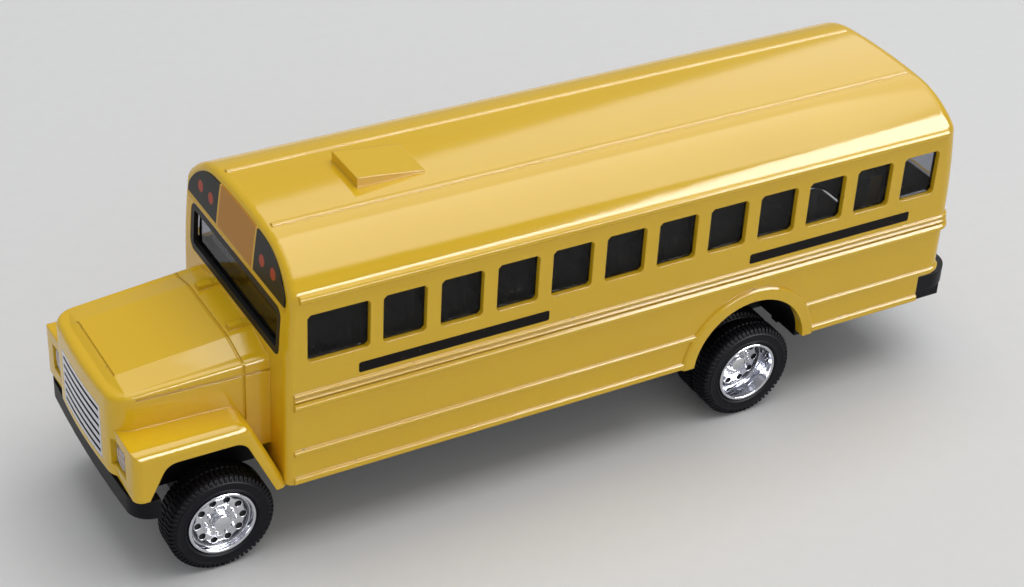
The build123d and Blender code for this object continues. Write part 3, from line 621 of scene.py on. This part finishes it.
def lug_row(shape, middle, half, side, first_turn):
    """One row of shoulder lugs, each running from the sidewall over to the tread's middle."""
    root = TREAD_RADIUS - LUG_ROOT
    section = [
        (SHOULDER_RADIUS - 0.05, half - 0.3),
        (SHOULDER_RADIUS, half - 0.1),
        (SHOULDER_RADIUS + 0.31, half - 0.12),
        (TYRE_RADIUS - 0.16, half - 0.3),
        (TYRE_RADIUS, half - 0.6),
        (TYRE_RADIUS, LUG_START),
        (root, LUG_START),
        (root, half - 0.9),
    ]
    points = [(radius, middle + side * offset, -LUG_WIDTH / 2) for radius, offset in section]
    corners, sides = chain_of(shape, points, True)
    face = bmesh.ops.contextual_create(shape, geom=sides)["faces"][0]
    block = corners + thicken(shape, [face], (0, 0, LUG_WIDTH))
    tilt(shape, first_turn, "Y", block)
    repeat_round(shape, with_sides(block), LUG_COUNT)


def tyre(end, side_name, side, ring_width, rings):
    """A tyre of one ring, or of twin rings side by side, each with two rows of lugs."""
    name = f"{end}_{side_name}_tyre"
    face, width = wheel_span(name)
    half = ring_width / 2
    pitch = math.tau / LUG_COUNT
    shape = bmesh.new()
    for ring in range(rings):
        middle = face - half - ring * (width - ring_width)
        carcass(shape, middle, half)
        lug_row(shape, middle, half, 1, 0.0)
        lug_row(shape, middle, half, -1, pitch / 2)
    seat_wheel(shape, end, side)
    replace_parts(set_piece(name + "_tread", shape, RUBBER, end + "_wheels"), name)


def hole_band(shape, disc):
    """The flat band of the disc with its round hand holes, as a thin plate."""
    circle = bmesh.ops.create_circle
    made = []
    for radius in HOLE_BAND:
        made += circle(shape, cap_ends=False, segments=HUB_STEPS, radius=radius)["verts"]
    for number in range(HOLE_COUNT):
        turn = math.tau * number / HOLE_COUNT
        offset = (HOLE_CIRCLE * math.cos(turn), HOLE_CIRCLE * math.sin(turn), 0)
        hole = circle(shape, cap_ends=False, segments=HOLE_STEPS, radius=HOLE_RADIUS)["verts"]
        bmesh.ops.translate(shape, vec=offset, verts=hole)
        made += hole
    tilt(shape, math.pi / 2, "X", made)
    bmesh.ops.translate(shape, vec=(0, disc - HOLE_DEPTH, 0), verts=made)
    rings = list(dict.fromkeys(edge for corner in made for edge in corner.link_edges))
    plate = bmesh.ops.triangle_fill(shape, use_beauty=True, edges=rings, normal=(0, 1, 0))["geom"]
    faces = [item for item in plate if isinstance(item, bmesh.types.BMFace)]
    thicken(shape, faces, (0, HOLE_DEPTH, 0))


def wheel_nuts(shape, disc):
    """Nuts with stud ends, in a ring round the cap."""
    ring = []
    for radius, height, corners in NUT_PIECES:
        made = bmesh.ops.create_cone(
            shape, cap_ends=True, cap_tris=False, segments=corners,
            radius1=radius, radius2=radius * NUT_TAPER, depth=height,
        )["verts"]
        tilt(shape, -math.pi / 2, "X", made)
        bmesh.ops.translate(shape, vec=(NUT_CIRCLE, disc + height / 2, 0), verts=made)
        ring += made
    repeat_round(shape, with_sides(ring), NUT_COUNT)


def rim(end, side_name, side, dish):
    """A plated wheel: the deep well, the disc with its hand holes, the nuts and the cap."""
    name = f"{end}_{side_name}_hub"
    face, width = wheel_span(name)
    disc = face - dish
    cap = disc + CAP_HEIGHT
    inner_band, outer_band = HOLE_BAND
    well = [
        (0, face - width),
        (RIM_RADIUS, face - width),
        (RIM_RADIUS, face - 0.25),
        (RIM_RADIUS - 0.04, face - 0.08),
        (RIM_RADIUS - 0.13, face),
        (WELL_RADIUS + 0.2, face),
        (WELL_RADIUS + 0.08, face - 0.06),
        (WELL_RADIUS, face - 0.22),
        (WELL_RADIUS - 0.05, disc + 0.18),
        (WELL_RADIUS - 0.12, disc + 0.06),
        (outer_band, disc),
    ]
    boss = [
        (inner_band, disc),
        (inner_band - 0.08, disc + 0.1),
        (CAP_RADIUS + 0.32, disc + 0.12),
        (CAP_RADIUS + 0.14, disc + 0.04),
        (CAP_RADIUS, disc + 0.14),
        (CAP_RADIUS - 0.02, cap - 0.3),
        (CAP_RADIUS - 0.12, cap - 0.1),
        (CAP_RADIUS - 0.4, cap - 0.02),
        (0, cap),
    ]
    shape = bmesh.new()
    for section in (well, boss):
        corners, sides = chain_of(shape, [(radius, y, 0) for radius, y in section], False)
        turn_whole(shape, corners + sides, HUB_STEPS)
    hole_band(shape, disc)
    wheel_nuts(shape, disc)
    seat_wheel(shape, end, side)
    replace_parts(set_piece(name + "_rim", shape, CHROME, end + "_wheels"), name)
    hole_shade(name, end, side, disc)


def hole_shade(name, end, side, disc):
    """The dark ring that shows through the hand holes: painted shade for the dark inside of the hub."""
    inner_band, outer_band = HOLE_BAND
    front = disc - HOLE_DEPTH - SHADE_GAP
    back = front - SHADE_DEPTH
    section = [(inner_band, front), (inner_band, back), (outer_band, back), (outer_band, front)]
    shape = bmesh.new()
    corners, sides = chain_of(shape, [(radius, y, 0) for radius, y in section], True)
    turn_whole(shape, corners + sides, HUB_STEPS)
    seat_wheel(shape, end, side)
    set_piece(name + "_shade", shape, SHADE, end + "_wheels")


def headlamp(name):
    """A square plated bezel with a round rim, and a domed lens in it."""
    low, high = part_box(name)
    place = (low + high) / (2 * MM)
    place.x = high.x / MM - LENS_RISE
    size = (high.z - low.z) / MM - 2 * LAMP_PLAY
    bezel = bmesh.new()
    made = bmesh.ops.create_cube(bezel, size=1.0)["verts"]
    bmesh.ops.scale(bezel, vec=(LAMP_DEPTH, size, size), verts=made)
    bmesh.ops.translate(bezel, vec=(-LAMP_DEPTH / 2, 0, 0), verts=made)
    bmesh.ops.bevel(
        bezel, geom=bezel.edges[:], offset=BEZEL_ROUND, offset_type="OFFSET", segments=2,
        profile=0.5, affect="EDGES", material=-1,
    )
    front = max(bezel.faces, key=lambda face: face.calc_center_median().x)
    for thickness, depth in ((BEZEL_LIP, 0.0), (BEZEL_SLOPE, -LAMP_RECESS)):
        bmesh.ops.inset_region(bezel, faces=[front], thickness=thickness, depth=depth, use_even_offset=True)
    ring = [
        (-LAMP_RECESS, LENS_RADIUS + 0.3),
        (0.0, LENS_RADIUS + 0.26),
        (0.08, LENS_RADIUS + 0.15),
        (0.02, LENS_RADIUS + 0.04),
        (-LAMP_RECESS, LENS_RADIUS),
    ]
    corners, sides = chain_of(bezel, [(x, 0, radius) for x, radius in ring], False)
    turn_whole(bezel, corners + sides, LAMP_STEPS, (1, 0, 0))
    bmesh.ops.translate(bezel, vec=place, verts=bezel.verts)
    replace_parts(set_piece(name + "_bezel", bezel, CHROME, "bus"), name)
    dome = [
        (-LENS_SEAT, LENS_RADIUS),
        (0.0, LENS_RADIUS),
        (0.1, LENS_RADIUS * 0.86),
        (0.18, LENS_RADIUS * 0.62),
        (0.23, LENS_RADIUS * 0.32),
        (LENS_RISE, 0),
    ]
    lens = bmesh.new()
    corners, sides = chain_of(lens, [(x, 0, radius) for x, radius in dome], False)
    turn_whole(lens, corners + sides, LAMP_STEPS, (1, 0, 0))
    bmesh.ops.translate(lens, vec=place, verts=lens.verts)
    set_piece(name + "_lens", lens, LENS, "bus")


def upright_sheet(shape, length, height, corner):
    """A flat sheet in the XZ plane with round corners."""
    made = bmesh.ops.create_grid(shape, x_segments=1, y_segments=1, size=0.5)["verts"]
    bmesh.ops.scale(shape, vec=(length, height, 1), verts=made)
    bmesh.ops.bevel(
        shape, geom=made, offset=corner, offset_type="OFFSET", segments=CORNER_STEPS,
        profile=0.5, affect="VERTICES", material=-1,
    )
    tilt(shape, math.pi / 2, "X", shape.verts)
    return shape.faces[:]


def windscreen_seal_and_shade():
    """A black rubber strip round the windscreen, on the leaning front wall; it also stands in as painted
    shade at the windscreen's edges.
    """
    shape = bmesh.new()
    width = 2 * (SCREEN_HALF - SEAL_PLAY)
    height = SCREEN_HIGH - SCREEN_LOW - 2 * SEAL_PLAY
    faces = upright_sheet(shape, width, height, SCREEN_CORNER)
    bmesh.ops.inset_region(
        shape, faces=faces, thickness=SEAL_WIDTH, depth=0.0, use_boundary=True, use_even_offset=True,
    )
    bmesh.ops.delete(shape, geom=faces, context="FACES")
    thicken(shape, shape.faces[:], (0, -SEAL_DEPTH, 0))
    tilt(shape, math.pi / 2, "Z", shape.verts)
    middle = (-SEAL_DEPTH - SEAL_PLAY, 0, (SCREEN_LOW + SCREEN_HIGH) / 2)
    bmesh.ops.translate(shape, vec=middle, verts=shape.verts)
    for corner in shape.verts:
        corner.co.x += FRONT_WALL_X - (corner.co.z - LEAN_START_Z) ** 2 / (2 * LEAN_RADIUS)
    set_piece("windscreen_seal_and_shade", shape, SEAL, "bus")


def stripe(name, side, front, rear):
    """One black stripe, printed on the side wall between the windows and the upper rail."""
    shape = bmesh.new()
    faces = upright_sheet(shape, front - rear, STRIPE_HIGH - STRIPE_LOW, STRIPE_CORNER)
    middle = ((front + rear) / 2, WALL_Y - STRIPE_SEAT, (STRIPE_LOW + STRIPE_HIGH) / 2)
    bmesh.ops.translate(shape, vec=middle, verts=shape.verts)
    thicken(shape, faces, (0, STRIPE_DEPTH + STRIPE_SEAT, 0))
    bmesh.ops.scale(shape, vec=(1, side, 1), verts=shape.verts)
    set_piece("stripe_" + name, shape, INK, "bus")


def camera():
    """The camera at the photograph's viewing angle."""
    lens = bpy.data.cameras.new("camera")
    lens.lens = CAMERA_LENS
    lens.sensor_width = CAMERA_SENSOR
    lens.clip_start, lens.clip_end = CAMERA_CLIP
    eye = set_up("camera", lens)
    eye.location = Vector(CAMERA_PLACE) * MM
    gaze = Vector(CAMERA_AIM) - Vector(CAMERA_PLACE)
    eye.rotation_mode = "QUATERNION"
    eye.rotation_quaternion = gaze.to_track_quat("-Z", "Y") @ Quaternion((0, 0, 1), CAMERA_ROLL)
    bpy.context.scene.camera = eye


def soft_lamp(name, place, along, size, watts, gloss_only):
    """A soft panel that faces the bus, with its length along a direction."""
    lamp = bpy.data.lights.new(name, "AREA")
    lamp.shape = "RECTANGLE"
    lamp.size, lamp.size_y = size
    lamp.energy = watts
    holder = set_up(name, lamp)
    holder.location = Vector(place)
    back = (Vector(place) - Vector(LAMP_AIM)).normalized()
    length = (Vector(along) - back * back.dot(Vector(along))).normalized()
    holder.rotation_mode = "QUATERNION"
    holder.rotation_quaternion = Matrix((length, back.cross(length), back)).transposed().to_quaternion()
    holder.visible_diffuse = not gloss_only
    holder.visible_transmission = not gloss_only


def studio():
    """A pale floor, an even sky and the soft lamps."""
    shape = bmesh.new()
    bmesh.ops.create_grid(shape, x_segments=1, y_segments=1, size=FLOOR_HALF)
    set_up("floor", mesh_of("floor", shape, floor_paper()))
    world = bpy.data.worlds.new("studio")
    bpy.context.scene.world = world
    world.use_nodes = True
    sky = world.node_tree.nodes["Background"].inputs
    sky["Color"].default_value = SKY_COLOUR
    sky["Strength"].default_value = SKY_STRENGTH
    for lamp in SOFT_LAMPS:
        soft_lamp(*lamp)
    bpy.context.scene.view_settings.view_transform = "Standard"


camera()
studio()

RUBBER = tyre_rubber()
SEAL = seal_rubber()
SHADE = seat_moulding()
CHROME = bright_plating()
LENS = lens_plastic()
INK = stripe_ink()

dress(["body_casting"], yellow_enamel())
dress(["base_plate"], black_moulding())
dress(["glazing"], window_plastic())
dress(["interior"], SHADE)
dress(["header_label"], header_print())
dress(["front_axle", "rear_axle", "front_rivet", "rear_rivet"], plain_steel())
dress(["grille"], CHROME)

for side_name, side in SIDES:
    for end, ring_width, rings, dish in WHEELS:
        tyre(end, side_name, side, ring_width, rings)
    for end, ring_width, rings, dish in WHEELS:
        rim(end, side_name, side, dish)
    headlamp("headlamp_" + side_name)
for row in STRIPES:
    stripe(*row)
windscreen_seal_and_shade()
